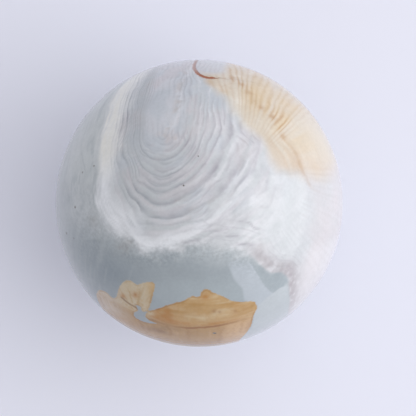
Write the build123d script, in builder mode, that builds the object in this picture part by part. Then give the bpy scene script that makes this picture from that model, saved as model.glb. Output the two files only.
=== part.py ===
"""A polished jasper ball: one piece of stone, ground and polished to a true sphere.

The ball is solid right through, with no bore, core, flat or stand of its own. Its
frame has the origin at the ball's centre and +Z pointing up, out of the face that
carries the oval of nested bands.
"""

import os
from math import pi

from build123d import *

# Driving dimension, in millimetres.
BALL_DIAMETER = 60.0

BALL_RADIUS = BALL_DIAMETER / 2
PARTS_FOLDER = "parts"

os.makedirs(PARTS_FOLDER, exist_ok=True)

# The ball is the solid that a half disc sweeps as it turns once about the upright axis.
with BuildPart() as jasper_sphere:
    with BuildSketch(Plane.XZ):
        with BuildLine():
            rim = CenterArc((0, 0), BALL_RADIUS, -90, 180)
            Line(rim @ 1, rim @ 0)
        make_face()
    revolve(axis=Axis.Z)

jasper_sphere.part.label = "jasper_sphere"
export_step(jasper_sphere.part, os.path.join(PARTS_FOLDER, "jasper_sphere.step"))

true_volume = 4 / 3 * pi * BALL_RADIUS**3
print(f"jasper_sphere: {jasper_sphere.part.volume:.1f} mm3, and a true ball has {true_volume:.1f} mm3")
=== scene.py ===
"""A polished jasper ball, built and dressed for its looks.

The ball is one lump of banded jasper. Its figure is laid out on the ball's own surface, in
millimetres along the stone from the topmost point: a nest of thumbprint bands, a cream ridge
round it, amber strands that fan out, and a slate bed with ochre islands. Each feature is a
formula or a short outline, worked out for every point of the mesh at once, and the finish
turns those fields into colour, lines, gloss and relief.
"""

import logging
from dataclasses import dataclass, field
from enum import Enum

import bpy
import numpy as np
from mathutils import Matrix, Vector


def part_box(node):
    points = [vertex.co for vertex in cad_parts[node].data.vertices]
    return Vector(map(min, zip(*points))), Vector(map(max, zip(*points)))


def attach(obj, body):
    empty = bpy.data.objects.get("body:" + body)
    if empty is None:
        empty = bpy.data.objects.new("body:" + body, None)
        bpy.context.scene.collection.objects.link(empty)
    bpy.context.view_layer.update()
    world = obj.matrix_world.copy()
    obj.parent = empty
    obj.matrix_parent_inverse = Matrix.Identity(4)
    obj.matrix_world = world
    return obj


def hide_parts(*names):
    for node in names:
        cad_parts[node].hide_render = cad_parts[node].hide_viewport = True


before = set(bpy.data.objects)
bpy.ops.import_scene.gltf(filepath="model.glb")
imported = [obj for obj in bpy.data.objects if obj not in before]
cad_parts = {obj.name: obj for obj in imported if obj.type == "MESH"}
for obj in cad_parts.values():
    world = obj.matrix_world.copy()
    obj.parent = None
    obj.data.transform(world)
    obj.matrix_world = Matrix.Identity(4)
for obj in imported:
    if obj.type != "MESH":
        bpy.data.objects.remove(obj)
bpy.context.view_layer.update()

log = logging.getLogger("jasper_sphere")

MM = 0.001
NODE = "jasper_sphere"
BALL_LOW, BALL_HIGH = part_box(NODE)
BALL_RADIUS = (BALL_HIGH.z - BALL_LOW.z) / 2
RADIUS_MM = BALL_RADIUS / MM

Points = tuple[tuple[float, float], ...]
Tree = bpy.types.NodeTree
Node = bpy.types.Node
Socket = bpy.types.NodeSocket


# ---------------------------------------------------------------- colour


class Tone(Enum):
    """The stone's colours, as a lapidary would name them, in sRGB."""

    NEST_GREY = "#C8CACF"
    NEST_BLUE = "#BBC1C7"
    NEST_ROSE = "#C6C1C4"
    NEST_SHADE = "#B2B6BA"
    NEST_BROWN = "#BDB1AA"
    BODY_GREY = "#C1C5C7"
    MILK_WHITE = "#E9EBEE"
    CREAM = "#E4E3DC"
    # pale stone, and also the colour of the painted reflections on the nest
    PALE_FOOT_AND_REFLECTION = "#DCDCDF"
    BLUSH = "#C9C5C7"
    ROSE_GREY = "#BBB8BA"
    MAUVE = "#A39C9F"
    MIST_GREEN = "#C2C7C7"
    SILVER = "#CDD0D0"
    SLATE_PALE = "#B9BEC0"
    SLATE = "#939CA1"
    EARTH_GREY = "#9D9A97"
    SLATE_DEEP = "#87929A"
    TEAL = "#A1AAAE"
    ICE_BLUE = "#B3BAC0"
    ICE_PALE = "#B8BEC1"
    WEDGE_GREY = "#9CA5A9"
    LINE_BLUE = "#8C9098"
    LINE_VIOLET = "#96919A"
    LINE_ROSE = "#A39A98"
    HONEY = "#CEC5B6"
    PEACH = "#CDC2B5"
    STRAW = "#CDB68F"
    AMBER = "#B8946A"
    AMBER_DEEP = "#AA7D4A"
    UMBER = "#7D5A34"
    OCHRE = "#B99766"
    OCHRE_PALE = "#C4AD88"
    OCHRE_OLIVE = "#C7BBA2"
    OCHRE_BEIGE = "#CBBEAD"
    OCHRE_WARM = "#AB7124"
    OCHRE_TAN = "#C4A27A"
    OCHRE_DEEP = "#A97F40"
    OCHRE_ROSE = "#AB885B"
    BRONZE = "#8C5C2C"
    RUST = "#9A5222"
    # painted shade inside the pinhead pits
    PIT_PAINTED_SHADE = "#77726B"


def linear(tone: Tone | str) -> np.ndarray:
    """Turn an sRGB hex colour into linear red, green and blue.

    Args:
        tone: a named tone, or a hex string such as "#A0B0C0".

    Returns:
        Three linear values from 0 to 1.
    """
    text = tone.value if isinstance(tone, Tone) else tone
    srgb = np.array([int(text[i : i + 2], 16) for i in (1, 3, 5)]) / 255
    return np.where(srgb <= 0.04045, srgb / 12.92, ((srgb + 0.055) / 1.055) ** 2.4)


def rgba(tone: Tone | str) -> tuple[float, float, float, float]:
    """Give a colour in the form that a shader socket takes."""
    return (*(float(v) for v in linear(tone)), 1.0)


# ---------------------------------------------------------------- plain mathematics


def ease(low: float, high: float, value: np.ndarray) -> np.ndarray:
    """Smooth step: 0 below low, 1 above high, and 3t^2 - 2t^3 between them."""
    t = np.clip((value - low) / (high - low), 0.0, 1.0)
    return t * t * (3 - 2 * t)


def bump(value: np.ndarray, centre: float, reach: float) -> np.ndarray:
    """Bell curve, exp(-((value - centre) / reach)^2): 1 at the centre, fading past its reach."""
    return np.exp(-(((value - centre) / reach) ** 2))


def noise(place: np.ndarray, grain: float, seed: int) -> np.ndarray:
    """Seeded value noise: random heights on the corners of cubes, eased between the corners.

    Args:
        place: points in mm, one row each.
        grain: the side of a cube in mm, which is the size of the smallest blot.
        seed: chooses the random heights.

    Returns:
        One value from -1 to 1 for each point.
    """
    scaled = place / grain + 100.0
    cell = np.floor(scaled).astype(np.int64)
    part = scaled - cell
    part = part * part * (3 - 2 * part)
    total = np.zeros(len(place))
    for corner in np.ndindex(2, 2, 2):
        x, y, z = (cell + corner).T
        mixed = (x * 73856093) ^ (y * 19349663) ^ (z * 83492791) ^ (seed * 2654435761)
        mixed = ((mixed ^ (mixed >> 13)) * 1274126177) & 0xFFFFFFFF
        height = (mixed ^ (mixed >> 16)) & 0xFFFF
        weight = np.prod(np.where(corner, part, 1 - part), axis=1)
        total += weight * (height / 32767.5 - 1.0)
    return total


def clouds(place: np.ndarray, grain: float, seed: int, layers: int = 3) -> np.ndarray:
    """Sum of noises, each half as coarse and half as strong as the one before."""
    parts = [noise(place, grain / 2**k, seed + k) / 2**k for k in range(layers)]
    return sum(parts) / sum(1 / 2**k for k in range(layers))


@dataclass(frozen=True)
class Line:
    """A smooth line through a few chosen places on the unrolled stone, in mm."""

    places: Points
    closed: bool = False
    steps: int = 6

    def path(self) -> np.ndarray:
        """Run a Catmull-Rom curve through the places: a cubic between each two neighbours.

        Returns:
            The points of the curve, one row each.
        """
        knots = np.array(self.places)
        if self.closed:
            knots = np.vstack([knots[-1], knots, knots[0], knots[1]])
        else:
            first, last = 2 * knots[0] - knots[1], 2 * knots[-1] - knots[-2]
            knots = np.vstack([first, knots, last])
        t = np.linspace(0, 1, self.steps, endpoint=False)[:, None]
        a, b, c, d = knots[:-3], knots[1:-2], knots[2:-1], knots[3:]
        spans = [
            0.5 * (2 * q + (r - p) * t + (2 * p - 5 * q + 4 * r - s) * t**2 + (3 * q - p - 3 * r + s) * t**3)
            for p, q, r, s in zip(a, b, c, d)
        ]
        return np.vstack([*spans, knots[-2]])

    def measure(self, p: np.ndarray, q: np.ndarray) -> tuple[np.ndarray, np.ndarray]:
        """Measure every point against the line.

        Args:
            p: sideways places in mm.
            q: lengthways places in mm.

        Returns:
            The signed distance in mm, and how far along the line its nearest point is, from 0
            to 1. The distance is negative on the right of an open line and inside a closed one.
        """
        path = self.path()
        best = np.full(p.shape, np.inf)
        side = np.ones(p.shape)
        along = np.zeros(p.shape)
        inside = np.zeros(p.shape, bool)
        count = len(path) - 1
        for i, (start, end) in enumerate(zip(path[:-1], path[1:])):
            run, rise = end - start
            dx, dy = p - start[0], q - start[1]
            t = np.clip((dx * run + dy * rise) / (run * run + rise * rise), 0, 1)
            gap = np.hypot(dx - t * run, dy - t * rise)
            near = gap < best
            best = np.where(near, gap, best)
            side = np.where(near, np.sign(run * dy - rise * dx), side)
            along = np.where(near, (i + t) / count, along)
            if rise != 0:
                crosses = (start[1] > q) != (end[1] > q)
                inside ^= crosses & (p < start[0] + (q - start[1]) * run / rise)
        sign = np.where(inside, -1.0, 1.0) if self.closed else np.where(side == 0, 1.0, side)
        return best * sign, along


def mix(base: np.ndarray, top: np.ndarray, mask: np.ndarray) -> np.ndarray:
    """Blend rows of colour: base where the mask is 0, top where it is 1."""
    return base + (top - base) * mask[:, None]


def paint(base: Tone | np.ndarray, *coats: tuple[Tone, np.ndarray]) -> np.ndarray:
    """Lay coats of colour one after another, each as thickly as its mask says.

    Args:
        base: the tone all over, or rows of colour.
        coats: a tone and its mask from 0 to 1, the lowest first.

    Returns:
        Rows of colour.
    """
    rows = np.tile(linear(base), (len(coats[0][1]), 1)) if isinstance(base, Tone) else base
    for tone, mask in coats:
        rows = mix(rows, linear(tone), mask)
    return rows


# ---------------------------------------------------------------- the stone's figure


@dataclass(frozen=True)
class Face:
    """Every point of the ball, in space and unrolled from its top, in mm.

    Unrolled, a point keeps its direction from the top and its distance along the surface, so
    (p, q) are mm to the right and up the figure, and reach is the length of the arc. Wander is
    a slow drift of a mm or so that takes the stiffness out of every border.
    """

    place: np.ndarray
    p: np.ndarray
    q: np.ndarray
    reach: np.ndarray
    wander: np.ndarray

    @classmethod
    def of(cls, directions: np.ndarray) -> "Face":
        """Unroll the ball: arc = radius * arccos(z), kept in the same direction as (x, y).

        Args:
            directions: one unit direction from the centre in each row.

        Returns:
            The face with one entry for each direction.
        """
        x, y, z = directions.T
        place = directions * RADIUS_MM
        arc = RADIUS_MM * np.arccos(np.clip(z, -1, 1))
        flat = np.maximum(np.hypot(x, y), 1e-9)
        return cls(place, arc * x / flat, arc * y / flat, arc, 1.6 * clouds(place, 6, 21))

    def silk(self, across: np.ndarray, seed: int, fibre: float = 0.7) -> np.ndarray:
        """Draw fine streaks that follow a flow, as thin layers do where the polish cuts them.

        The noise is fibre mm wide where the across value changes, and eight times as long.

        Args:
            across: mm across the flow.
            seed: chooses the streaks.
            fibre: the width of a streak in mm.

        Returns:
            One value from -1 to 1 for each point.
        """
        stretched = np.stack([across, self.p / 8, self.q / 8], 1)
        return clouds(stretched, fibre, seed, 2)

    def noise(self, grain: float, seed: int) -> np.ndarray:
        """Single noise in the stone."""
        return noise(self.place, grain, seed)

    def clouds(self, grain: float, seed: int, layers: int = 3) -> np.ndarray:
        """Layered noise in the stone."""
        return clouds(self.place, grain, seed, layers)

    def spot(self, p: float, q: float, radius: float) -> np.ndarray:
        """Soft round spot: 1 at its middle, fading past its radius."""
        return bump(np.hypot(self.p - p, self.q - q), 0, radius)


def on_ball(p: float, q: float) -> np.ndarray:
    """Roll a place of the figure back onto the ball: turn from the top by arc / radius.

    Args:
        p: mm to the right on the figure.
        q: mm up the figure.

    Returns:
        The point on the ball in mm from its centre.
    """
    arc = np.hypot(p, q)
    turn = arc / RADIUS_MM
    return RADIUS_MM * np.array([np.sin(turn) * p / arc, np.sin(turn) * q / arc, np.cos(turn)])


@dataclass(frozen=True)
class ThumbprintNest:
    """Nested U-shaped bands, open at the top, like the print of a thumb.

    A band is level t mm below the inner lobe. Its bowl is a rounded half ellipse on each side
    of the middle, (sideways / width)^n + (height / depth)^n = 1, whose widths grow with t. Each
    line has its level, and how dark it is under the lobe, on its left and on its right.
    """

    middle: float = -7.5
    left_top: float = 14.0
    right_top: float = 19.0
    fine_spacing: float = 1.3
    thread: Line = Line(
        ((-2.2, 36), (-3.6, 30), (-4.5, 25.5), (-4.4, 21), (-5.2, 17), (-7.4, 14.2), (-4.6, 12.2)), steps=3
    )
    lines: tuple[tuple[float, float, float, float], ...] = (
        (2.0, 0.35, 0.10, 0.45),
        (4.0, 0.45, 0.35, 0.50),
        (5.8, 0.90, 0.95, 0.75),
        (7.4, 0.30, 0.10, 0.50),
        (8.8, 0.85, 1.00, 0.80),
        (10.3, 0.50, 0.15, 0.55),
        (11.7, 0.75, 0.50, 0.85),
        (14.1, 1.00, 0.90, 0.80),
        (17.0, 0.95, 0.55, 0.60),
        (18.3, 0.40, 0.15, 0.50),
        (20.4, 0.30, 0.35, 0.45),
        (23.0, 0.12, 0.10, 0.35),
    )

    def level(self, face: Face) -> np.ndarray:
        """Solve the bowl for t at every point by halving the range again and again.

        Args:
            face: the ball's points.

        Returns:
            The level of each point in mm, with the small frills of the layers' edges.
        """
        right = ease(-7, 3, face.p)
        frill = np.abs(face.noise(2.3, 12)) - 0.4
        wobble = 0.9 * face.noise(6.5, 11) + (0.25 + 0.4 * right) * face.noise(3.6, 13)
        wobble += (0.3 + 0.5 * right) * frill
        tall = face.place * [1.0, 0.45, 1.0]
        sway = 1.2 * ease(-10, -12.5, face.p) * noise(tall, 2.0, 15)
        sway += 0.5 * right * face.noise(4.5, 17)
        x = face.p - self.middle + 0.6 * wobble
        y = face.q + 0.8 * wobble
        left = x < 0
        shoulder = np.where(left, self.left_top, self.right_top)
        power = np.where(left, 2.3, 2.0)
        height = np.maximum(shoulder - y, 0.0)
        low, high = np.full(x.shape, 0.2), np.full(x.shape, 60.0)
        for _ in range(26):
            t = (low + high) / 2
            flare = 2.4 + 0.83 * t + 0.35 * np.maximum(t - 13.5, 0) ** 1.5
            width = np.where(left, 2.6 + 0.42 * t, flare)
            depth = t + (shoulder - self.left_top)
            outside = (np.abs(x) / width) ** power + (height / depth) ** power > 1
            low, high = np.where(outside, t, low), np.where(outside, high, t)
        return t + sway * ease(1, 5, t)

    def strokes(self, face: Face, level: np.ndarray) -> tuple[np.ndarray, np.ndarray]:
        """Count the lines passed and say how dark each is here.

        Args:
            face: the ball's points.
            level: the level of each point in mm.

        Returns:
            The phase, a whole number at each line and straight between them, and the depth.
        """
        levels, under, left, right = np.transpose(self.lines)
        phase = np.interp(level, (0.0, *levels), np.arange(len(levels) + 1))
        depth = np.interp(level, levels, under)
        depth += (np.interp(level, levels, left) - depth) * ease(-9.5, -12, face.p) * ease(1, 7, face.q)
        depth += (np.interp(level, levels, right) - depth) * ease(-5, -1, face.p) * ease(0, 6, face.q)
        patchy = face.clouds(5, 51)
        depth *= np.clip(0.85 + 0.9 * patchy + 0.4 * face.clouds(2.2, 55), 0.15, 1.25)
        misty = ease(-4, -1, face.p) * ease(15, 21, face.q + 2.5 * patchy)
        depth *= ease(0.8, 2.6, level) * ease(25, 18, level) * (1 - 0.8 * misty)
        return phase, depth

    def fine_strokes(self, face: Face, level: np.ndarray) -> tuple[np.ndarray, np.ndarray]:
        """Lay finer, fainter layers across the bands, which meet and part from them.

        Args:
            face: the ball's points.
            level: the level of each point in mm.

        Returns:
            The phase, a whole number at each fine line, and the depth.
        """
        core = np.clip(np.abs(face.p - self.middle), 0, 2.4) * ease(11, 15, face.q)
        right = ease(-4, 2, face.p)
        phase = (level + core) / self.fine_spacing + 1.1 * clouds(face.place * [1, 0.5, 1], 4.5, 57, 2)
        phase += 0.2 * face.noise(1.7, 58)
        depth = ease(-0.4, 0.3, face.clouds(3.2, 59)) * ease(19 + 7 * right, 14 + 5 * right, level)
        depth *= (1 - 0.3 * ease(3, 0.5, level)) * (1 - 0.4 * right * ease(17, 23, face.q))
        return phase, depth * (1 + 0.1 * right)

    def tone(self, face: Face, level: np.ndarray) -> np.ndarray:
        """Colour the nest and the pale body round it, with two painted reflections: a pale wash right of the
        ball's centre and a pale spot at the upper limb.

        Args:
            face: the ball's points.
            level: the level of each point in mm.

        Returns:
            Rows of colour.
        """
        p, q = face.p, face.q
        broad = face.clouds(11, 31)
        middling = face.clouds(4, 34)
        small = face.clouds(1.4, 37)
        silk = face.silk(level, 71)
        bright = (0.3 + 0.3 * ease(-4, 3, p) * ease(16, 9, p)) * (1 - 0.7 * ease(12, 17, p))
        bright *= ease(0.0, 0.5, face.silk(level, 79, 0.5)) * ease(3, 6, level)
        thread, _ = self.thread.measure(p + 0.3 * small, q)
        freckle = face.clouds(0.9, 41, 2)
        veil = ease(-0.2, 0.5, silk + 0.3 * middling) * ease(13.5, 19, level)
        veil *= ease(16, 6, q) * ease(-18, -12, p)
        # painted reflection: a pale, mottled wash right of the ball's centre stands in for the light overhead
        # reflected in the polish
        painted_reflection_haze = ease(-1, 6, p) * ease(20, 15, q) * ease(-0.6, 0.5, small) * ease(22, 14, p)
        return paint(
            Tone.BODY_GREY,
            (Tone.NEST_GREY, ease(6, 1.5, level)),
            (Tone.NEST_BLUE, 0.7 * ease(-0.1, 0.4, middling + 0.6 * silk) * ease(26, 16, level)),
            (Tone.NEST_ROSE, 0.6 * ease(-0.1, 0.4, 0.9 * silk - middling) * ease(26, 16, level)),
            (Tone.PALE_FOOT_AND_REFLECTION, bright),
            (Tone.NEST_SHADE, 0.55 * ease(-16.5, -13, p) * ease(-9.5, -13, p) * ease(8, 14, q)),
            (Tone.NEST_SHADE, 0.4 * face.spot(-8, 4.6, 3.2)),
            (Tone.PALE_FOOT_AND_REFLECTION, 0.3 * face.spot(4, 14, 4)),
            (Tone.NEST_BROWN, 0.42 * bump(thread, 0, 0.9) * ease(-0.3, 0.4, freckle)),
            (Tone.PALE_FOOT_AND_REFLECTION, 0.55 * bump(thread, 0.5, 0.6) * ease(0.3, -0.3, freckle)),
            (Tone.NEST_BLUE, 0.5 * ease(-2, 1, p) * ease(16, 21, q) * ease(-0.5, 0.5, small)),
            # painted reflection: a pale spot near the upper limb stands in for the lilac room reflected in
            # the polish
            (Tone.PALE_FOOT_AND_REFLECTION, 0.4 * face.spot(4, 38, 5)),
            (Tone.PALE_FOOT_AND_REFLECTION, 0.5 * veil * (1 - 0.8 * ease(8, 14, p))),
            (Tone.PALE_FOOT_AND_REFLECTION, 0.38 * painted_reflection_haze),
            (Tone.BLUSH, ease(18, 27, p) * ease(-0.6, 0.3, broad)),
        )


@dataclass(frozen=True)
class MilkRidge:
    """A bank of cream and milk-white quartz that runs down the nest's left and under it.

    Its half widths in mm and its whiteness go from its start, 0, to its end, 1.
    """

    crest: Line = Line(
        (
            (-9, 60), (-14, 48), (-16.5, 41), (-18.3, 34), (-19.4, 27), (-20.1, 19), (-20.4, 11),
            (-20.4, 5), (-20.0, 1), (-18, -2.3), (-15, -4.8), (-12.2, -7.6), (-9.3, -8.7), (-6, -7.2),
            (-2, -5.8), (2, -3.6), (6, -0.6), (9.5, 2.5),
        )
    )
    half_widths: Points = (
        (0.0, 4.2), (0.24, 2.9), (0.34, 2.5), (0.42, 2.2), (0.5, 2.8), (0.58, 3.8),
        (0.65, 1.9), (0.74, 1.2), (1.0, 1.0),
    )
    whiteness: Points = (
        (0.0, 0.5), (0.12, 0.85), (0.38, 0.95), (0.5, 0.95), (0.6, 1.0), (0.7, 0.85),
        (0.78, 0.75), (0.86, 0.5), (0.94, 0.4), (1.0, 0.0),
    )

    def cover(self, face: Face, tone: np.ndarray) -> np.ndarray:
        """Lay the bank over the body, ragged at its edges and streaked along its length.

        Args:
            face: the ball's points.
            tone: rows of colour below it.

        Returns:
            Rows of colour.
        """
        gap, along = self.crest.measure(face.p + 0.6 * face.wander, face.q)
        ragged = face.clouds(2.8, 35)
        silk = face.silk(gap, 73, 0.55)
        width = np.interp(along, *np.transpose(self.half_widths))
        milk = ease(1.8, 0.1, np.abs(gap + 1.3 * ragged + 1.6 * silk) / width)
        milk *= np.interp(along, *np.transpose(self.whiteness))
        milk *= np.clip(0.95 + 0.9 * silk + 0.3 * ragged, 0, 1.05)
        return paint(tone, (Tone.MILK_WHITE, milk), (Tone.CREAM, milk * ease(0.44, 0.34, along)))


@dataclass(frozen=True)
class CreasedShelf:
    """The pale shelf between the ridge and the slate, with a few dark creases along it."""

    creases: tuple[Line, ...] = (
        Line(((-0.2, -5.6), (2.5, -5.4), (5, -5.2), (6.4, -4.5)), steps=3),
        Line(((6.2, -3.7), (8.4, -3.7), (10.2, -4.1), (11.4, -5.1), (14.4, -5.5)), steps=3),
        Line(((4.4, -6.6), (6.5, -6.4), (8.6, -6.5)), steps=3),
        Line(((6.6, -7.6), (8.2, -8.2), (10, -8.4), (12.4, -8.3)), steps=3),
        Line(((-4.2, -7.7), (-1.6, -7.5), (1.2, -7.0)), steps=3),
    )
    half_width: float = 0.27

    def depth(self, face: Face) -> np.ndarray:
        """How dark the creases are: soft across, and tapered to nothing at their ends.

        Args:
            face: the ball's points.

        Returns:
            One value from 0 to 1 for each point.
        """
        drift = 0.4 * face.clouds(2.2, 53)
        depth = np.zeros(face.p.shape)
        for crease in self.creases:
            gap, along = crease.measure(face.p, face.q + drift)
            taper = ease(0, 0.35, along) * ease(1, 0.7, along)
            depth = np.maximum(depth, taper * bump(gap, 0, self.half_width))
        return depth


@dataclass(frozen=True)
class AmberFan:
    """Amber that has soaked in from the right: strands that fan out past a chain of dark heads."""

    outline: Line = Line(
        (
            (0, 31.5), (0.2, 28.5), (2, 25.6), (5.2, 22.8), (7.6, 19.2), (9.2, 15.6), (11.6, 12.8),
            (14, 9.6), (17, 6.4), (21, 4.8), (26, 3.4), (31, 4.0), (38, 7), (48, 11), (62, 14),
            (50, 46), (26, 58), (14, 56), (9, 46), (7.2, 38), (5.5, 33),
        ),
        closed=True,
    )
    chain: Line = Line(
        (
            (6.5, 31), (9.5, 28), (11.2, 25), (13.7, 21.2), (16.3, 18.8), (18.4, 14.6), (20.9, 11.4),
            (22.2, 8), (23.4, 5.4), (25.4, 3.2), (29, 2), (34, 1.4),
        )
    )
    heads: Points = (
        (8.2, 30.4), (10.2, 28.2), (11.6, 25.4), (12.2, 22.8), (13.9, 21.3), (16.4, 19.2), (18.4, 14.3),
    )
    head_radius: float = 0.75
    root: tuple[float, float] = (8.0, 6.0)
    strand_angle: float = 0.068

    def soak(self, face: Face) -> np.ndarray:
        """How much amber is in the stone: full well inside the outline, thin far to the right.

        Args:
            face: the ball's points.

        Returns:
            One value from 0 to 1 for each point.
        """
        gap, _ = self.outline.measure(face.p + 0.8 * face.wander, face.q + 0.8 * face.wander)
        fade = ease(-1.0, 2.2 + 4.5 * ease(18, 26, face.p) * ease(16, 9, face.q), -gap)
        return fade * (1 - 0.35 * ease(32, 42, face.p))

    def fanned(self, face: Face) -> np.ndarray:
        """Stretch the stone along the strands, so that noise there is long and thin like them.

        Args:
            face: the ball's points.

        Returns:
            Rows of a place to ask the noise for.
        """
        x, y = face.p - self.root[0], face.q - self.root[1]
        return np.stack([22 * np.arctan2(y, x), np.hypot(x, y) / 7, 0 * x], 1)

    def strokes(self, face: Face, soak: np.ndarray, chain: np.ndarray) -> tuple[np.ndarray, np.ndarray]:
        """Run the strands out from the fan's root, darkest where they leave the chain.

        Args:
            face: the ball's points.
            soak: how much amber is in each point.
            chain: mm from the chain, more than 0 on its outer side.

        Returns:
            The phase, a whole number between each two strands, and the depth.
        """
        x, y = face.p - self.root[0], face.q - self.root[1]
        angle, out = np.arctan2(y, x), np.hypot(x, y)
        patchy = face.clouds(4, 51)
        outer, inner = 0.68 * np.exp(-np.abs(chain) / 22), 0.35 * np.exp(-np.abs(chain) / 1.2) + 0.35
        heads = np.where(chain > 0, outer, inner) + 0.1 * bump(chain, 0.5, 0.9)
        strands = soak * ease(6, 12, out) * ease(0.55, 0.85, angle) * ease(44, 38, face.q) * heads
        flank = ease(13, 17, out) * ease(0.3, 0.0, angle) * ease(-1.35, -1.0, angle) * ease(-0.7, 0.3, patchy)
        straggle = 0.4 * patchy + 0.55 * clouds(self.fanned(face), 2.6, 49, 2)
        return angle / self.strand_angle + straggle, strands * (0.8 + 0.55 * patchy) + 0.16 * flank

    def tone(self, face: Face, chain: np.ndarray) -> np.ndarray:
        """Colour the amber: honey, peach below, straw and amber along the chain.

        Args:
            face: the ball's points.
            chain: mm from the chain, more than 0 on its outer side.

        Returns:
            Rows of colour.
        """
        middling, small = face.clouds(4, 44), face.clouds(1.5, 47)
        flame = clouds(self.fanned(face), 2.6, 47, 2)
        amount = 0.62 * bump(chain, 2.5, 4.5) * (0.35 + 0.65 * ease(11, 17, face.q))
        grain = face.silk(chain, 48, 0.9)
        trunk = 0.5 * bump(chain, 0.0, 1.0) + 0.25 * bump(chain, -3, 2.5) + 0.15 * bump(chain, 5, 3)
        blots = 0.6 * face.spot(1.2, 27.8, 2.0) + 0.3 * face.spot(5, 27, 3) * ease(-0.3, 0.3, small)
        dark = sum(face.spot(p, q, self.head_radius) for p, q in self.heads)
        return paint(
            Tone.HONEY,
            (Tone.PEACH, ease(14, 6, face.q)),
            (Tone.CREAM, 0.5 * ease(-0.1, 0.5, middling + 0.5 * small) * ease(20, 14, face.p)),
            (Tone.CREAM, 0.3 * ease(0.1, 0.6, -flame) * ease(12, 20, face.q)),
            (Tone.STRAW, amount * ease(-0.4, 0.4, flame + 0.3 * middling)),
            (Tone.STRAW, 0.45 * ease(3, 8, chain) * ease(20, 25, face.q) * ease(-0.4, 0.4, flame)),
            (Tone.AMBER, trunk * ease(-0.5, 0.5, grain) * ease(17, 12, face.q)),
            (Tone.AMBER, blots),
            (Tone.STRAW, 0.5 * face.spot(10, 24.5, 4) * ease(-1.0, 0.0, flame)),
            (Tone.AMBER_DEEP, 0.5 * np.clip(dark, 0, 1) * ease(-0.8, 0.1, small)),
        )


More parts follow.
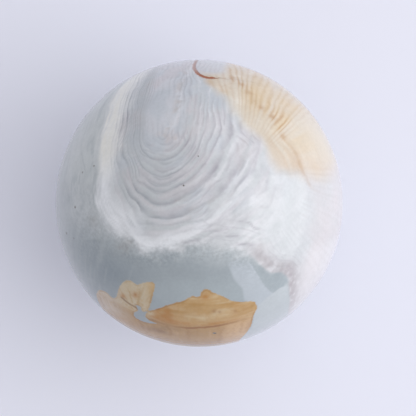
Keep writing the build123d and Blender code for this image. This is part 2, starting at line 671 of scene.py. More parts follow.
@dataclass(frozen=True)
class SlateBed:
    """Grey-green slate on the left and below: specks at its edge, facets at its right."""

    edge: Line = Line(
        (
            (-12, 62), (-17, 48), (-20.5, 38), (-21.8, 28), (-22.3, 19), (-22.4, 10), (-22.2, 3),
            (-20.6, -1.5), (-17.6, -5.6), (-14.2, -8.6), (-10.5, -9.7), (-5, -8.5), (0, -8.2),
            (5, -8.6), (9.5, -10.1), (12.5, -12.9), (15, -15), (18, -15.6), (20, -17), (21.0, -20.4),
            (23.6, -28), (27.5, -37), (31, -48), (34, -62),
        )
    )
    facet: Line = Line(
        (
            (6.2, -12.2), (9.4, -10.6), (12.4, -14.4), (15.0, -18.4), (17.4, -20.6), (13.6, -23.6),
            (10.2, -21), (9.6, -18), (7.6, -15.6),
        ),
        closed=True,
        steps=1,
    )
    wedge: Line = Line(
        (
            (9.4, -10.4), (12.6, -13), (15.2, -14.8), (19.2, -15.2), (19.8, -17.4), (18.4, -19.6),
            (16.8, -20.4), (14.4, -18), (12, -14.2),
        ),
        closed=True,
        steps=1,
    )
    clear: Line = Line(
        (
            (18.6, -19.4), (13.4, -23.9), (13.2, -27), (13.4, -32), (12, -38), (13, -60), (34, -60),
            (31, -40), (27, -27), (23, -20.5),
        ),
        closed=True,
        steps=2,
    )

    def gap(self, face: Face) -> np.ndarray:
        """Measure from the slate's edge, which is ragged where it meets the ridge.

        Args:
            face: the ball's points.

        Returns:
            Mm from the edge for each point, less than 0 in the slate.
        """
        crumble = face.clouds(1.8, 23)
        below = ease(-2, -8, face.q)
        clean = ease(7, 11, face.p) * below
        drift = 0.7 * (1 - 0.7 * clean) * face.wander
        p, q = face.p + drift, face.q + drift + (0.6 + 1.2 * below) * (1 - 0.8 * clean) * crumble
        side, _ = self.edge.measure(p, q)
        bites = 1.4 * face.spot(-13.4, -7.3, 1.2) + 1.0 * face.spot(-15.6, -9.2, 1.4)
        return side - bites + (1.3 * (1 - below) + 1.2 * self.bend(face)) * face.silk(side, 24, 0.8)

    def bend(self, face: Face) -> np.ndarray:
        """Where the slate meets the ridge's bend, on the left."""
        return bump(face.q, -1.5, 5) * ease(-12, -17, face.p)

    def cover(self, face: Face, gap: np.ndarray) -> np.ndarray:
        """How much slate shows: its edge is soft and mottled below, and clean at its right.

        Args:
            face: the ball's points.
            gap: mm from the slate's edge.

        Returns:
            One value from 0 to 1 for each point.
        """
        below = ease(-2, -8, face.q)
        clean = ease(7, 11, face.p) * below
        soft = 1.0 - 0.6 * clean + 0.7 * self.bend(face)
        return ease(-soft, soft + 0.9 * below * (1 - clean), -gap)

    def speckle(self, face: Face, gap: np.ndarray) -> np.ndarray:
        """How much the slate sparkles: along its lower edge, and in the dark patch on the left.

        Args:
            face: the ball's points.
            gap: mm from the slate's edge.

        Returns:
            One value from 0 to 1 for each point.
        """
        border = 0.8 * bump(gap, -1.4, 1.8) * ease(-5, -8, face.q)
        border *= ease(-19, -15, face.p) * ease(14, 8, face.p)
        patch = bump(face.p, -22, 7) * bump(face.q, -6, 6) * ease(0.5, -0.5, gap)
        return np.clip(border + 0.55 * patch, 0, 1)

    def tone(self, face: Face, gap: np.ndarray) -> np.ndarray:
        """Colour the slate: misty on the left, dark below, with teal and ice-blue facets.

        Args:
            face: the ball's points.
            gap: mm from the slate's edge.

        Returns:
            Rows of colour.
        """
        p, q = face.p, face.q
        middling, small = face.clouds(4, 34), face.clouds(1.1, 38)
        silk = face.silk(gap, 77, 0.6)
        depth = q + 0.12 * p + 2.5 * middling
        rough = ease(-4.5, -0.5, gap) * ease(-19, -12, q + 0.3 * p) * ease(-4, -8, q)
        streaked = ease(-6, 2, q) * ease(-40, -30, p)
        dusk = ease(-0.1, 0.6, small + 0.5 * middling) * ease(-40, -28, p) * ease(-10, -18, p)
        dawn = ease(-0.1, 0.6, face.silk(p - 0.4 * q, 39, 0.7) - 0.5 * middling) * ease(-10, -18, p)
        earthy = face.spot(-13.6, -7.6, 1.3) + face.spot(-15.8, -9.4, 1.6) + 0.7 * face.spot(-23, -3.6, 1.6)
        return paint(
            Tone.MIST_GREEN,
            (Tone.SLATE_PALE, ease(7, -3, depth)),
            (Tone.SLATE, 0.84 * ease(-5, -14, depth) * ease(-44, -25, p)),
            (Tone.SLATE_DEEP, 0.6 * bump(q, -15.5, 3.5) * bump(p, -19, 6)),
            (Tone.TEAL, ease(-14, -18, q) * ease(-15, -7, p)),
            (Tone.SLATE_PALE, 0.8 * rough * ease(-0.2, 0.5, small)),
            (Tone.SILVER, 0.4 * ease(0.0, 0.5, silk) * streaked),
            (Tone.SLATE, 0.28 * ease(0.0, 0.5, -silk) * streaked),
            (Tone.SLATE, 0.3 * dusk * (0.35 + 0.65 * ease(8, -2, q))),
            (Tone.SILVER, 0.16 * dawn),
            (Tone.EARTH_GREY, 0.5 * np.clip(earthy, 0, 1) * ease(-0.6, 0.3, small)),
        )


@dataclass(frozen=True)
class OchreIslands:
    """Islands of ochre jasper in the slate, with a thin brown contour across the large one."""

    edge: Line = Line(
        (
            (-27.8, -28), (-26.8, -24), (-24.8, -21.7), (-22.4, -21.5), (-20.8, -22.8), (-19.4, -22),
            (-17.8, -18.8), (-16, -17), (-14.4, -16.9), (-13.2, -17.6), (-11.2, -16.8), (-9.3, -16.8),
            (-9.6, -19), (-11, -23.2), (-11.5, -24.6), (-9.4, -23.7), (-6.5, -22.1), (-3.4, -20.9),
            (-1.4, -19.6), (0, -19.8), (0.7, -18.3), (1.8, -17.9), (3.1, -18.8), (5.2, -19.8),
            (6.8, -21), (9.5, -21.7), (12.1, -21.9), (13.3, -23.9), (12.9, -26.8), (13, -30),
            (12.5, -33.6), (11.6, -38), (11.8, -44), (8.5, -51), (2, -55.5), (-7, -57.5), (-14, -55.5),
            (-21, -50), (-25, -44), (-28.6, -36),
        ),
        closed=True,
    )
    inclusion: Line = Line(
        (
            (-14.7, -23.3), (-13.2, -23.7), (-12.9, -25), (-11.2, -24.4), (-12.4, -26.6),
            (-11.7, -27.9), (-9.7, -28.7), (-11, -29.4), (-13.8, -29.3), (-15.9, -28.1), (-15.8, -26.2),
            (-14.5, -25.1),
        ),
        closed=True,
    )
    contour: Line = Line(
        (
            (-12.6, -27.2), (-10, -28.2), (-7, -29), (-3.5, -29.5), (0.5, -29.4), (4, -28.9), (8.5, -27.9),
            (12.9, -26.4),
        )
    )
    seam: Line = Line(((-18.3, -21.6), (-16.6, -23.2), (-14.8, -24.2), (-13.2, -25.6)))
    inclusion_rim: float = 0.25
    rim_inset: float = 0.22

    def tone(self, face: Face) -> np.ndarray:
        """Colour the ochre: pale and streaked above the contour, rosier and darker below it.

        Args:
            face: the ball's points.

        Returns:
            Rows of colour.
        """
        p, q = face.p, face.q
        middling, small, speck = face.clouds(3.5, 61), face.clouds(1.2, 64), face.clouds(0.8, 68)
        rays = face.silk(12 * np.arctan2(q + 26, p + 15), 65, 0.9)
        fibre = face.silk(q - 0.013 * (p - 1) ** 2, 66, 0.7)
        left = ease(-9, -12, p)
        above = ease(-30.5, -27.5, q - 0.012 * p * p)
        gleam = bump(q, -26.0 + 0.01 * p * p, 1.6) * bump(p, 1, 7) * ease(-0.6, 0.3, small)
        warm = bump(q, -28.3 + 0.016 * p * p, 0.9) * bump(p, 0, 11) + face.spot(-7.5, -25.2, 3.0)
        warm += face.spot(1.4, -19.9, 0.9) + face.spot(-14.2, -20.4, 0.8) + face.spot(-17.6, -21.4, 0.8)
        warm += 0.6 * face.spot(9, -23.6, 1.6)
        dark = face.spot(3.4, -23.8, 0.5) + face.spot(4.6, -24.1, 0.35) + 0.7 * face.spot(8.2, -24.2, 0.4)
        below = 1 - above
        drip = face.silk(p + 0.8 * small, 69, 0.8)
        stain = bump(p, -9.5, 5) * bump(q + 1.2 * middling, -31.6, 1.7)
        stain *= ease(-0.6, 0.3, middling + 0.7 * small)
        return paint(
            Tone.OCHRE,
            (Tone.OCHRE_OLIVE, 0.85 * left * above),
            (Tone.OCHRE_DEEP, 0.5 * left * above * ease(0.0, 0.6, rays)),
            (Tone.OCHRE_PALE, 0.6 * left * above * ease(0.0, 0.6, -rays)),
            (Tone.OCHRE_PALE, 0.8 * (1 - left) * above * ease(0.0, 0.5, fibre + 0.3 * small)),
            (Tone.OCHRE_DEEP, 0.6 * (1 - left) * above * ease(0.05, 0.6, -fibre + 0.3 * small)),
            (Tone.OCHRE_PALE, 0.75 * gleam),
            (Tone.OCHRE_WARM, 0.84 * np.clip(warm, 0, 1) * ease(-0.7, 0.2, small)),
            (Tone.BRONZE, 0.6 * np.clip(dark + 0.7 * face.spot(-14.2, -20.4, 0.3), 0, 1)),
            (Tone.OCHRE_ROSE, 0.9 * below * ease(13, 5, p)),
            (Tone.OCHRE_TAN, 0.95 * below * ease(4, 9, p)),
            (Tone.OCHRE_BEIGE, 0.75 * ease(-15.5, -23, p + 1.5 * middling) * ease(-32, -27, q)),
            # darker towards the bottom limb: umber comes in from q -34 mm down and fades out between -46 and
            # -60 mm
            (Tone.UMBER, 0.32 * ease(-34, -39, q) * ease(-60, -46, q)),
            (Tone.BRONZE, 0.34 * below * ease(0.1, 0.6, drip)),
            (Tone.OCHRE_TAN, 0.32 * below * ease(0.1, 0.6, -drip)),
            (Tone.OCHRE_DEEP, 0.3 * ease(0.1, 0.6, speck)),
            (Tone.UMBER, 0.75 * stain),
        )


@dataclass(frozen=True)
class StoneFigure:
    """Everything that is drawn in the stone, as fields over the ball."""

    nest: ThumbprintNest = ThumbprintNest()
    ridge: MilkRidge = MilkRidge()
    shelf: CreasedShelf = CreasedShelf()
    amber: AmberFan = AmberFan()
    slate: SlateBed = SlateBed()
    ochre: OchreIslands = OchreIslands()
    rust: Line = Line(
        (
            (-0.6, 43), (-0.9, 39), (-1.3, 36), (-1.1, 33.6), (-0.4, 31.6), (0.8, 30.2), (2.1, 29.6),
            (3.4, 29.6),
        )
    )
    shelf_spacing: float = 1.35
    deep_spacing: float = 3.4
    grain_way: tuple[float, float, float] = (0.32, 0.55, 0.77)
    turns_under: float = 50.0
    all_under: float = 64.0

    def taper(self, along: np.ndarray, first: float, last: float) -> np.ndarray:
        """Fade a line in over its first part and out over its last, as parts of its length."""
        return ease(0, first, along) * ease(0, last, 1 - along)

    def strip(self, face: Face, shelf: np.ndarray, tone: np.ndarray) -> np.ndarray:
        """Lay the rosy, crumbled strip where the white meets the slate, at the right.

        Args:
            face: the ball's points.
            shelf: mm from the slate's edge, without its raggedness.
            tone: rows of colour below it.

        Returns:
            Rows of colour.
        """
        p, q = face.p, face.q
        crumble, fleck = face.clouds(1.8, 23), face.clouds(1.0, 97, 2)
        rosy = bump(shelf, 0.9, 2.3) * ease(8, 13, p)
        outer = bump(shelf, 0.7, 1.5) * ease(15, 19, p) * ease(-32, -22, q)
        return paint(
            tone,
            (Tone.ROSE_GREY, rosy * ease(-0.9, 0.0, crumble)),
            (Tone.PALE_FOOT_AND_REFLECTION, 0.45 * rosy * ease(0.0, 0.5, fleck)),
            (Tone.MAUVE, 0.4 * rosy * ease(0.0, 0.5, -fleck)),
            (Tone.MAUVE, outer * (0.5 - 0.35 * ease(0.0, 0.4, fleck))),
            (Tone.PALE_FOOT_AND_REFLECTION, 0.35 * ease(21, 27, p) * ease(-8, -13, q)),
        )

    def underside(self, face: Face, wave: np.ndarray) -> np.ndarray:
        """Colour what the ball lies on, plainly: slate and mist in broad soft waves.

        Args:
            face: the ball's points.
            wave: mm across the waves.

        Returns:
            Rows of colour.
        """
        broad, middling = face.clouds(16, 87), face.clouds(4, 34)
        milky = ease(0.55, 0.95, np.sin(wave / 7)) * ease(-0.6, 0.4, middling)
        return paint(
            Tone.SLATE_PALE,
            (Tone.MIST_GREEN, ease(-0.3, 0.4, broad)),
            (Tone.TEAL, 0.7 * ease(0.0, 0.6, -broad + 0.3 * middling)),
            (Tone.PALE_FOOT_AND_REFLECTION, 0.8 * milky),
        )

    def stain(self, face: Face, soak: np.ndarray) -> np.ndarray:
        """Colour the lines: blue-grey on the left, violet and rosy on the right, deep in the amber.

        Args:
            face: the ball's points.
            soak: how much amber is in each point.

        Returns:
            Rows of colour.
        """
        rosier = np.maximum(ease(20, 26, face.p), 0.7 * ease(0.1, 0.5, face.clouds(3, 95)))
        return paint(
            Tone.LINE_BLUE,
            (Tone.LINE_VIOLET, ease(-8, 2, face.p)),
            (Tone.LINE_ROSE, rosier),
            (Tone.AMBER_DEEP, soak),
        )

    def fields(self, face: Face) -> dict[str, np.ndarray]:
        """Work out every field of the figure.

        Args:
            face: the ball's points.

        Returns:
            Arrays by name: values for each point, and colours as rows of three.
        """
        p, q = face.p, face.q
        patchy, crumble = face.clouds(4, 51), face.clouds(1.8, 23)
        under = ease(self.turns_under, self.all_under, face.reach + 3 * face.clouds(9, 83))
        level = self.nest.level(face)
        gap = self.slate.gap(face)
        in_slate = self.slate.cover(face, gap)
        soak = self.amber.soak(face)
        chain, _ = self.amber.chain.measure(p, q)
        shelf, _ = self.slate.edge.measure(p + 0.5 * face.wander, q + 0.6 * face.wander)
        wave = face.place @ np.array(self.grain_way) + 9 * face.clouds(15, 91)

        tone = self.ridge.cover(face, self.nest.tone(face, level))
        tone = self.strip(face, shelf, tone)
        tone = mix(tone, self.amber.tone(face, chain), soak)
        tone = mix(tone, self.slate.tone(face, gap), in_slate)
        tone = mix(tone, self.underside(face, wave), under)
        fields = {"ground": tone, "stain": self.stain(face, soak), "ochre_ground": self.ochre.tone(face)}

        bare = (1 - in_slate) * (1 - under)
        on_shelf = ease(0.2, 0.9, shelf) * ease(8.5, 4.5, shelf) * ease(-7, 0, p) * ease(-0.2, 0.5, patchy)
        nest_phase, nest_depth = self.nest.strokes(face, level)
        fine_phase, fine_depth = self.nest.fine_strokes(face, level)
        fan_phase, fan_depth = self.amber.strokes(face, soak, chain)
        fields |= {
            "nest_phase": nest_phase,
            "nest_depth": nest_depth * bare * (1 - soak),
            "fine_phase": fine_phase,
            "fine_depth": fine_depth * bare * (1 - soak),
            "fan_phase": fan_phase,
            "fan_depth": fan_depth * bare,
            "shelf_phase": shelf / self.shelf_spacing + 0.6 * patchy,
            "shelf_depth": 0.5 * on_shelf * bare,
            "deep_phase": wave / self.deep_spacing,
            "deep_depth": under * ease(-0.5, 0.4, patchy),
            "crease": 0.5 * self.shelf.depth(face),
            "speckle": self.slate.speckle(face, gap) * (1 - under),
        }

        facets = {"facet": self.slate.facet, "wedge": self.slate.wedge, "clear": self.slate.clear}
        for name, outline in facets.items():
            side, _ = outline.measure(p, q)
            fields[f"{name}_mm"] = np.maximum(side, 0)
            fields[f"{name}_show"] = in_slate * (1 - under) * ease(-10.3, -14, q)
        island, _ = self.ochre.edge.measure(p, q)
        inclusion, _ = self.ochre.inclusion.measure(p, q)
        shore = np.maximum(island, -inclusion - self.ochre.inclusion_rim)
        contour, contour_along = self.ochre.contour.measure(p, q + 0.25 * crumble)
        seam, seam_along = self.ochre.seam.measure(p, q)
        rust, rust_along = self.rust.measure(p, q)
        return fields | {
            "ochre_mm": shore,
            "rim_mm": shore + self.ochre.rim_inset,
            "rim_show": ease(-0.4, 0.3, patchy) * ease(-34, -28, q),
            "contour_mm": contour,
            "contour_show": self.taper(contour_along, 0.1, 0.3) * ease(-0.7, 0.4, patchy),
            "seam_mm": seam,
            "seam_show": self.taper(seam_along, 0.1, 0.1),
            "trunk_mm": chain + 0.25 * crumble,
            "trunk_show": ease(15, 10, q) * ease(1.5, 6.5, q) * ease(-0.5, 0.2, patchy),
            "rust_mm": rust,
            "rust_show": (0.6 + 0.4 * ease(0.35, 0.7, rust_along)) * ease(0, 0.1, rust_along),
        }


# ---------------------------------------------------------------- the finish


SMOOTH = {"interpolation_type": "SMOOTHSTEP"}
BLEND = {"data_type": "RGBA"}


def add(
    tree: Tree, kind: str, settings: dict | str | None = None, feeds: dict | tuple = (), stops: Points = ()
) -> Node:
    """Add one node to a material or to the world, set it up and feed it.

    Args:
        tree: the node tree.
        kind: the node's type without its first word, such as "Math".
        settings: the node's own options by name, or only the name of its operation.
        feeds: what goes into its inputs, in their order, or by input name or number. A node
            gives its first output, a socket makes a link, and the rest become input values.
        stops: the grey levels of a colour ramp, as (place, level).

    Returns:
        The new node.
    """
    node = tree.nodes.new("ShaderNode" + kind)
    options = {"operation": settings} if isinstance(settings, str) else settings or {}
    for name, value in options.items():
        setattr(node, name, value)
    for key, value in feeds.items() if isinstance(feeds, dict) else enumerate(feeds):
        source = value.outputs[0] if isinstance(value, Node) else value
        if isinstance(source, Socket):
            tree.links.new(source, node.inputs[key])
        else:
            node.inputs[key].default_value = source
    for spare in range(len(stops) - 2):
        node.color_ramp.elements.new(spare / len(stops))
    for number, (spot, level) in enumerate(stops):
        node.color_ramp.elements[number].position = spot
        node.color_ramp.elements[number].color = (level, level, level, 1.0)
    return node


@dataclass(frozen=True)
class Stroke:
    """How the lines of one phase field look: their profile across a band, and their darkness."""

    name: str
    darkness: float
    profile: Points


@dataclass(frozen=True)
class Trace:
    """How one thin line looks: half its width in mm, its softness, its colour and its cover.

    With no half width, a distance that is 0 all over a shape fills the shape.
    """

    name: str
    half_width: float
    softness: float
    tone: Tone
    cover: float


STROKES = (
    Stroke(
        "nest",
        0.72,
        (
            (0.0, 0.75), (0.07, 0.3), (0.16, 0.0), (0.4, 0.1), (0.66, 0.4), (0.84, 0.85), (0.93, 1.0),
            (1.0, 0.75),
        ),
    ),
    Stroke("fine", 0.38, ((0.0, 0.5), (0.15, 0.0), (0.5, 0.2), (0.85, 1.0), (1.0, 0.5))),
    Stroke("fan", 0.72, ((0.0, 0.0), (0.2, 0.15), (0.48, 1.0), (0.62, 0.8), (0.82, 0.15), (1.0, 0.0))),
    Stroke("shelf", 0.5, ((0.0, 0.0), (0.25, 0.0), (0.5, 1.0), (0.62, 0.7), (0.8, 0.0), (1.0, 0.0))),
    Stroke("deep", 0.4, ((0.0, 0.6), (0.1, 0.1), (0.4, 0.0), (0.75, 0.5), (0.93, 1.0), (1.0, 0.6))),
)
IN_OCHRE = (
    Trace("rim", 0.05, 0.3, Tone.BRONZE, 0.45),
    Trace("contour", 0.12, 0.45, Tone.BRONZE, 0.8),
    Trace("seam", 0.1, 0.3, Tone.UMBER, 0.7),
)
IN_SLATE = (
    Trace("facet", 0.0, 0.7, Tone.ICE_BLUE, 0.88),
    Trace("wedge", 0.0, 0.35, Tone.WEDGE_GREY, 0.82),
    Trace("clear", 0.0, 0.4, Tone.ICE_PALE, 0.85),
)
TRUNK = Trace("trunk", 0.0, 0.9, Tone.AMBER_DEEP, 0.34)
CRACK = Trace("rust", 0.29, 0.3, Tone.RUST, 0.95)


@dataclass(frozen=True)
class PolishedJasper:
    """Jasper, a fine-grained quartz, ground true and polished until it shines like glass.

    The polish gives small sharp reflections over a matt-looking stone. The ochre is a shade
    softer than the quartz, so it shines a little less, and a pit or a crack hardly at all.
    Real jasper's grain is under 0.05 mm, too fine to show, so it is drawn coarser, at fine_mm.
    A pit is (p, q) in mm and its radius.
    """

    ior: float = 1.54
    roughness: float = 0.08
    softer_ochre: float = 0.05
    dull_hole: float = 0.4
    wavy_polish: float = 0.03
    fine_mm: float = 0.6
    ripple_mm: float = 2.0
    patch_mm: float = 3.6
    noise_span: tuple[float, float] = (0.2, 0.8)
    even_span: tuple[float, float] = (0.3, 0.7)
    band_nudge: float = 0.1
    rough_mm: float = 0.16
    rag_mm: float = 0.06
    shore_mm: float = 0.18
    worn_lines: tuple[float, float] = (0.7, 1.15)
    cloudy: tuple[float, float] = (0.98, 1.02)
    grain_shade: float = 0.022
    sparkle_shade: float = 0.1
    hole_mm: float = 0.12
    grain_relief_mm: float = 0.0015
    pit_rim_mm: tuple[float, float] = (-0.1, 0.12)
    pits: tuple[tuple[float, float, float], ...] = (
        (-23.2, 8.2, 0.16), (-26.8, 7.0, 0.14), (-29.0, -1.0, 0.24), (-34.0, -7.8, 0.2),
        (-2.9, 3.3, 0.16), (-0.1, 9.1, 0.12), (-30.5, -8.6, 0.12), (3.8, -32.0, 0.34),
    )

    def strokes(self, tree: Tree, stroke: Stroke, ripple: Node) -> Node:
        """Draw the lines of a phase field: each whole number starts a new band.

        The phase, nudged by fine ripples, loses its whole part, a ramp turns what is left into
        the line's profile, and the depth field says how dark the line is here.

        Args:
            tree: the material's nodes.
            stroke: how the lines look.
            ripple: what is added to the phase.

        Returns:
            How much of the line's colour to lay on, from 0 to 1.
        """
        phase = add(tree, "Attribute", {"attribute_name": f"{stroke.name}_phase"})
        depth = add(tree, "Attribute", {"attribute_name": f"{stroke.name}_depth"})
        nudged = add(tree, "Math", "ADD", (phase.outputs["Fac"], ripple))
        part = add(tree, "Math", "FRACT", (nudged,))
        shape = add(tree, "ValToRGB", feeds=(part,), stops=stroke.profile)
        drawn = add(tree, "Math", "MULTIPLY", (shape, depth.outputs["Fac"]))
        return add(tree, "Math", "MULTIPLY", (drawn, stroke.darkness))

    def traced(self, tree: Tree, trace: Trace, wobble: Node, colour: Socket) -> tuple[Socket, Node]:
        """Draw a thin line where a distance field is near 0, over a colour.

        Args:
            tree: the material's nodes.
            trace: how the line looks.
            wobble: mm that are added to the distance, to roughen the line.
            colour: the colour under the line.

        Returns:
            The colour with the line on it, and the line's own cover from 0 to 1.
        """
        gap = add(tree, "Attribute", {"attribute_name": f"{trace.name}_mm"})
        show = add(tree, "Attribute", {"attribute_name": f"{trace.name}_show"})
        away = add(tree, "Math", "ABSOLUTE", (gap.outputs["Fac"],))
        rough = add(tree, "Math", "ADD", (away, wobble))
        outer = trace.half_width + trace.softness
        fade = add(tree, "MapRange", SMOOTH, (rough, trace.half_width, outer, trace.cover, 0.0))
        cover = add(tree, "Math", "MULTIPLY", (fade, show.outputs["Fac"]))
        laid = add(tree, "Mix", BLEND, {0: cover, 6: colour, 7: rgba(trace.tone)})
        return laid.outputs[2], cover

    def pitting(self, tree: Tree, place_mm: Node, wobble: Node) -> Node:
        """Find the pinhead pits: the distance to the rim of the nearest one, made a soft hole.

        Args:
            tree: the material's nodes.
            place_mm: the point on the ball, in mm.
            wobble: mm that are added to the distance, so that no pit is a true circle.

        Returns:
            How deep in a pit a point is, from 0 to 1.
        """
        rims = []
        for p, q, radius in self.pits:
            away = add(tree, "VectorMath", "DISTANCE", (place_mm, tuple(on_ball(p, q))))
            rims.append(add(tree, "Math", "SUBTRACT", (away.outputs["Value"], radius)))
        nearest = rims[0]
        for rim in rims[1:]:
            nearest = add(tree, "Math", "MINIMUM", (nearest, rim))
        rough = add(tree, "Math", "ADD", (nearest, wobble))
        return add(tree, "MapRange", SMOOTH, (rough, *self.pit_rim_mm, 1.0, 0.0))

    def drawing(self, tree: Tree, textures: dict[str, Node], rag: Node) -> Socket:
        """Lay the lines and the facets of the grey stone over its ground colour.

        Args:
            tree: the material's nodes.
            textures: the noise nodes by name.
            rag: mm that roughen a thin line.

        Returns:
            The colour of the stone outside the ochre.
        """
        feeds = (textures["ripple"], *self.noise_span, -self.band_nudge, self.band_nudge)
        nudge = add(tree, "MapRange", feeds=feeds)
        lines = self.strokes(tree, STROKES[0], nudge)
        for stroke in STROKES[1:]:
            more = self.strokes(tree, stroke, nudge)
            lines = add(tree, "Math", "MAXIMUM", (lines, more))
        worn = add(tree, "MapRange", SMOOTH, (textures["patch"], *self.even_span, *self.worn_lines))
        lines = add(tree, "Math", "MULTIPLY", (lines, worn))
        crease = add(tree, "Attribute", {"attribute_name": "crease"})
        within = {"operation": "MAXIMUM", "use_clamp": True}
        lines = add(tree, "Math", within, (lines, crease.outputs["Fac"]))
        ground = add(tree, "Attribute", {"attribute_name": "ground"})
        stain = add(tree, "Attribute", {"attribute_name": "stain"})
        colour = add(tree, "Mix", BLEND, {0: lines, 6: ground, 7: stain}).outputs[2]
        for trace in (*IN_SLATE, TRUNK):
            colour, _ = self.traced(tree, trace, rag, colour)
        return colour

    def shading(self, tree: Tree, textures: dict[str, Node]) -> Node:
        """Shade the stone lighter and darker: by its grain, its sparkle and soft clouds.

        Args:
            tree: the material's nodes.
            textures: the noise nodes by name.

        Returns:
            What the colour is multiplied by, near 1.
        """
        speckle = add(tree, "Attribute", {"attribute_name": "speckle"})
        feeds = (speckle.outputs["Fac"], self.sparkle_shade, self.grain_shade)
        strength = add(tree, "Math", "MULTIPLY_ADD", feeds)
        grain = add(tree, "MapRange", SMOOTH, (textures["fine"], *self.even_span, -1.0, 1.0))
        mottle = add(tree, "Math", "MULTIPLY", (grain, strength))
        cloud = add(tree, "MapRange", SMOOTH, (textures["patch"], *self.even_span, *self.cloudy))
        return add(tree, "Math", "ADD", (mottle, cloud))

    def material(self) -> bpy.types.Material:
        """Build the node material from the figure's fields.

        Returns:
            The finished material.
        """
        material = bpy.data.materials.new("polished_jasper")
        material.use_nodes = True
        tree = material.node_tree
        tree.nodes.clear()
        place = add(tree, "TexCoord").outputs["Object"]
        place_mm = add(tree, "VectorMath", "SCALE", {0: place, "Scale": 1 / MM})
        textures = {}
        for name, size in (("fine", self.fine_mm), ("ripple", self.ripple_mm), ("patch", self.patch_mm)):
            feeds = {"Vector": place_mm, "Scale": 1 / size, "Detail": 2.0, "Roughness": 0.55}
            textures[name] = add(tree, "TexNoise", feeds=feeds)
        roughen, rag = (
            add(tree, "MapRange", feeds=(textures["fine"], *self.noise_span, -size, size))
            for size in (self.rough_mm, self.rag_mm)
        )

        colour = self.drawing(tree, textures, rag)
        ochre = add(tree, "Attribute", {"attribute_name": "ochre_ground"}).outputs["Color"]
        for trace in IN_OCHRE:
            ochre, _ = self.traced(tree, trace, rag, ochre)
        shore = add(tree, "Attribute", {"attribute_name": "ochre_mm"})
        ragged = add(tree, "Math", "ADD", (shore.outputs["Fac"], roughen))
        in_ochre = add(tree, "MapRange", SMOOTH, (ragged, -self.shore_mm, self.shore_mm, 1.0, 0.0))
        colour = add(tree, "Mix", BLEND, {0: in_ochre, 6: colour, 7: ochre}).outputs[2]
        colour, in_crack = self.traced(tree, CRACK, roughen, colour)
        shade = self.shading(tree, textures)
        shaded = add(tree, "VectorMath", "SCALE", {0: colour, "Scale": shade.outputs[0]})
        pit = self.pitting(tree, place_mm, rag)
        # painted shade: the pits are darkened where shade would fall into the holes
        colour = add(tree, "Mix", BLEND, {0: pit, 6: shaded, 7: rgba(Tone.PIT_PAINTED_SHADE)}).outputs[2]

        softer = add(tree, "Math", "MULTIPLY_ADD", (in_ochre, self.softer_ochre, self.roughness))
        hole = add(tree, "Math", "MAXIMUM", (pit, in_crack))
        dull = add(tree, "Math", "MULTIPLY_ADD", (hole, self.dull_hole, softer))
        polish = add(tree, "Math", "MULTIPLY_ADD", (textures["ripple"], self.wavy_polish, dull))
        sunk = add(tree, "Math", "MULTIPLY", (hole, -self.hole_mm))
        height = add(tree, "Math", "MULTIPLY_ADD", (textures["fine"], self.grain_relief_mm, sunk))
        relief = add(tree, "Bump", feeds={"Strength": 1.0, "Distance": MM, "Height": height})
        feeds = {"Base Color": colour, "Roughness": polish, "IOR": self.ior, "Normal": relief}
        shader = add(tree, "BsdfPrincipled", feeds=feeds)
        add(tree, "OutputMaterial", feeds={"Surface": shader})
        return material


# ---------------------------------------------------------------- the ball


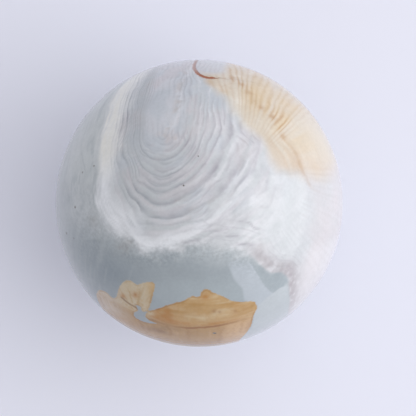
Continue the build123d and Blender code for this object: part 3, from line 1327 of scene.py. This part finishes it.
@dataclass
class JasperBall:
    """The ball: a closed skin of six curved squares, with the stone's figure on it."""

    radius: float = BALL_RADIUS
    squares: int = 128
    finish: PolishedJasper = field(default_factory=PolishedJasper)

    def skin(self) -> tuple[np.ndarray, np.ndarray, np.ndarray]:
        """Work out the skin from a cube whose faces are blown out to the ball.

        On each face a point is outward + tan(a) * across + tan(b) * up, with a and b evenly
        spaced from -45 to 45 degrees, made one unit long. Points that two faces share are
        welded, so the skin has no seam and no pole.

        Returns:
            Unit directions of the points, the corners of each square, and the corners' places
            on a flat layout of three by two tiles.
        """
        side = self.squares + 1
        angle = np.tan(np.linspace(-np.pi / 4, np.pi / 4, side))
        a, b = np.meshgrid(angle, angle, indexing="ij")
        axes = np.eye(3)
        sheets, tiles = [], []
        for face in range(6):
            turn, flip = face % 3, 1 if face < 3 else -1
            outward = flip * axes[turn]
            across, up = axes[(turn + 1) % 3], flip * axes[(turn + 2) % 3]
            sheet = outward + a[..., None] * across + b[..., None] * up
            sheets.append(sheet.reshape(-1, 3))
            grid = np.stack(np.meshgrid(np.linspace(0, 1, side), np.linspace(0, 1, side), indexing="ij"), -1)
            margin = 0.985 * (grid - 0.5) + 0.5
            tiles.append(((margin + [turn, face // 3]) / [3, 2]).reshape(-1, 2))
        points = np.vstack(sheets)
        points /= np.linalg.norm(points, axis=1, keepdims=True)
        _, first, welded = np.unique(np.round(points, 6), axis=0, return_index=True, return_inverse=True)
        row, column = np.meshgrid(np.arange(side - 1), np.arange(side - 1), indexing="ij")
        corner = (row * side + column).reshape(-1)
        square = np.stack([corner, corner + side, corner + side + 1, corner + 1], 1)
        squares = np.vstack([square + face * side * side for face in range(6)])
        return points[first], welded.reshape(-1)[squares], np.vstack(tiles)[squares]

    def mesh(self) -> bpy.types.Mesh:
        """Put the skin and the figure's fields into a mesh.

        Returns:
            The mesh, with its flat layout and one attribute for each field.
        """
        points, squares, tiles = self.skin()
        mesh = bpy.data.meshes.new("polished_jasper_ball")
        mesh.vertices.add(len(points))
        mesh.vertices.foreach_set("co", (points * self.radius).ravel())
        mesh.loops.add(squares.size)
        mesh.loops.foreach_set("vertex_index", squares.ravel())
        mesh.polygons.add(len(squares))
        mesh.polygons.foreach_set("loop_start", np.arange(0, squares.size, 4))
        mesh.update(calc_edges=True)
        mesh.polygons.foreach_set("use_smooth", np.ones(len(squares), bool))
        layout = mesh.uv_layers.new(name="OFBake")
        layout.data.foreach_set("uv", tiles.ravel())
        for name, values in StoneFigure().fields(Face.of(points)).items():
            if values.ndim == 2:
                store = mesh.attributes.new(name, "FLOAT_COLOR", "POINT")
                store.data.foreach_set("color", np.hstack([values, np.ones((len(values), 1))]).ravel())
            else:
                store = mesh.attributes.new(name, "FLOAT", "POINT")
                store.data.foreach_set("value", values)
        mesh.validate()
        return mesh

    def build(self) -> bpy.types.Object:
        """Make the ball's object, dress it, and let it stand for the CAD ball.

        Returns:
            The ball.
        """
        ball = bpy.data.objects.new("polished_jasper_ball", self.mesh())
        bpy.context.collection.objects.link(ball)
        ball.data.materials.append(self.finish.material())
        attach(ball, "root")
        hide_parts(NODE)
        return ball


# ---------------------------------------------------------------- the studio


@dataclass
class PaleFloor:
    """A wide sheet of pale lilac card that the ball lies on."""

    half_side: float = 3.0
    colour: str = "#E6E7F2"
    roughness: float = 0.9
    sheen: float = 0.2

    def build(self) -> bpy.types.Object:
        """Lay the sheet flat, level with the ball's lowest point.

        Returns:
            The sheet.
        """
        signs = ((-1, -1), (1, -1), (1, 1), (-1, 1))
        corners = [(x * self.half_side, y * self.half_side, BALL_LOW.z) for x, y in signs]
        mesh = bpy.data.meshes.new("pale_floor")
        mesh.from_pydata(corners, [], [(0, 1, 2, 3)])
        floor = bpy.data.objects.new("pale_floor", mesh)
        bpy.context.collection.objects.link(floor)
        material = bpy.data.materials.new("pale_card")
        material.use_nodes = True
        shader = material.node_tree.nodes["Principled BSDF"]
        shader.inputs["Base Color"].default_value = rgba(self.colour)
        shader.inputs["Roughness"].default_value = self.roughness
        shader.inputs["Specular IOR Level"].default_value = self.sheen
        mesh.materials.append(material)
        return floor


@dataclass
class SoftLamp:
    """A square soft light that faces the ball."""

    name: str
    place: tuple[float, float, float]
    size: tuple[float, float]
    watts: float
    aim: tuple[float, float, float] = (0.0, 0.0, 0.0)
    colour: str = "#FFFFFF"

    def build(self) -> bpy.types.Object:
        """Make the lamp and turn it to the point that it aims at.

        Returns:
            The lamp.
        """
        data = bpy.data.lights.new(self.name, "AREA")
        data.shape = "RECTANGLE"
        data.size, data.size_y = self.size
        data.energy = self.watts
        data.color = rgba(self.colour)[:3]
        lamp = bpy.data.objects.new(self.name, data)
        lamp.location = self.place
        lamp.rotation_euler = (Vector(self.place) - Vector(self.aim)).to_track_quat("Z", "Y").to_euler()
        bpy.context.collection.objects.link(lamp)
        return lamp


@dataclass
class SoftRoom:
    """The light of a pale room, brighter on the window's side, with a pale backdrop for the lens."""

    light: str = "#FBFBFF"
    even: float = 0.62
    bright_side: float = 0.95
    toward: tuple[float, float, float] = (0.883, 0.321, 0.342)
    glow_edge: float = 0.2
    backdrop: str = "#E9EAF5"

    def build(self) -> None:
        """Set the world: the room's light, or the backdrop where the lens or a gloss sees it."""
        world = bpy.data.worlds.new("soft_room")
        world.use_nodes = True
        bpy.context.scene.world = world
        tree = world.node_tree
        tree.nodes.clear()
        way = add(tree, "TexCoord")
        facing = add(tree, "VectorMath", "DOT_PRODUCT", (way.outputs["Generated"], self.toward))
        feeds = (facing.outputs["Value"], self.glow_edge, 1.0, 0.0, self.bright_side)
        glow = add(tree, "MapRange", SMOOTH, feeds)
        level = add(tree, "Math", "ADD", (glow, self.even))
        path = add(tree, "LightPath").outputs
        direct = add(tree, "Math", "ADD", (path["Is Camera Ray"], path["Is Transmission Ray"]))
        within = {"operation": "ADD", "use_clamp": True}
        seen = add(tree, "Math", within, (direct, path["Is Glossy Ray"]))
        room = add(tree, "Background", feeds={"Color": rgba(self.light), "Strength": level})
        back = add(tree, "Background", feeds={"Color": rgba(self.backdrop), "Strength": 1.0})
        either = add(tree, "MixShader", feeds=(seen, room, back))
        add(tree, "OutputWorld", feeds={"Surface": either})


@dataclass
class OverheadCamera:
    """A long lens that looks straight down on the ball, which lies a little off its centre."""

    lens: float = 144.5
    film_width: float = 36.0
    height: float = 0.35
    off_centre: tuple[float, float] = (0.00181, -0.00101)

    def build(self) -> bpy.types.Object:
        """Make the camera and hand it to the scene.

        Returns:
            The camera.
        """
        data = bpy.data.cameras.new("overhead_camera")
        data.lens = self.lens
        data.sensor_width = self.film_width
        camera = bpy.data.objects.new("overhead_camera", data)
        camera.location = (*self.off_centre, self.height)
        bpy.context.collection.objects.link(camera)
        bpy.context.scene.camera = camera
        return camera


WINDOW = SoftLamp("window", (0.404, -0.057, 0.190), (0.42, 0.46), 0.82)


def main() -> None:
    """Build the ball, then the studio round it."""
    logging.basicConfig(level=logging.INFO, format="%(name)s: %(message)s")
    bpy.context.scene.view_settings.view_transform = "Standard"
    OverheadCamera().build()
    ball = JasperBall().build()
    log.info("%s: %d points, %d squares", ball.name, len(ball.data.vertices), len(ball.data.polygons))
    floor = PaleFloor().build()
    log.info("%s: stage, level with the ball's lowest point", floor.name)
    lamp = WINDOW.build()
    log.info("%s: %.2f W", lamp.name, lamp.data.energy)
    SoftRoom().build()


if __name__ == "__main__":
    main()
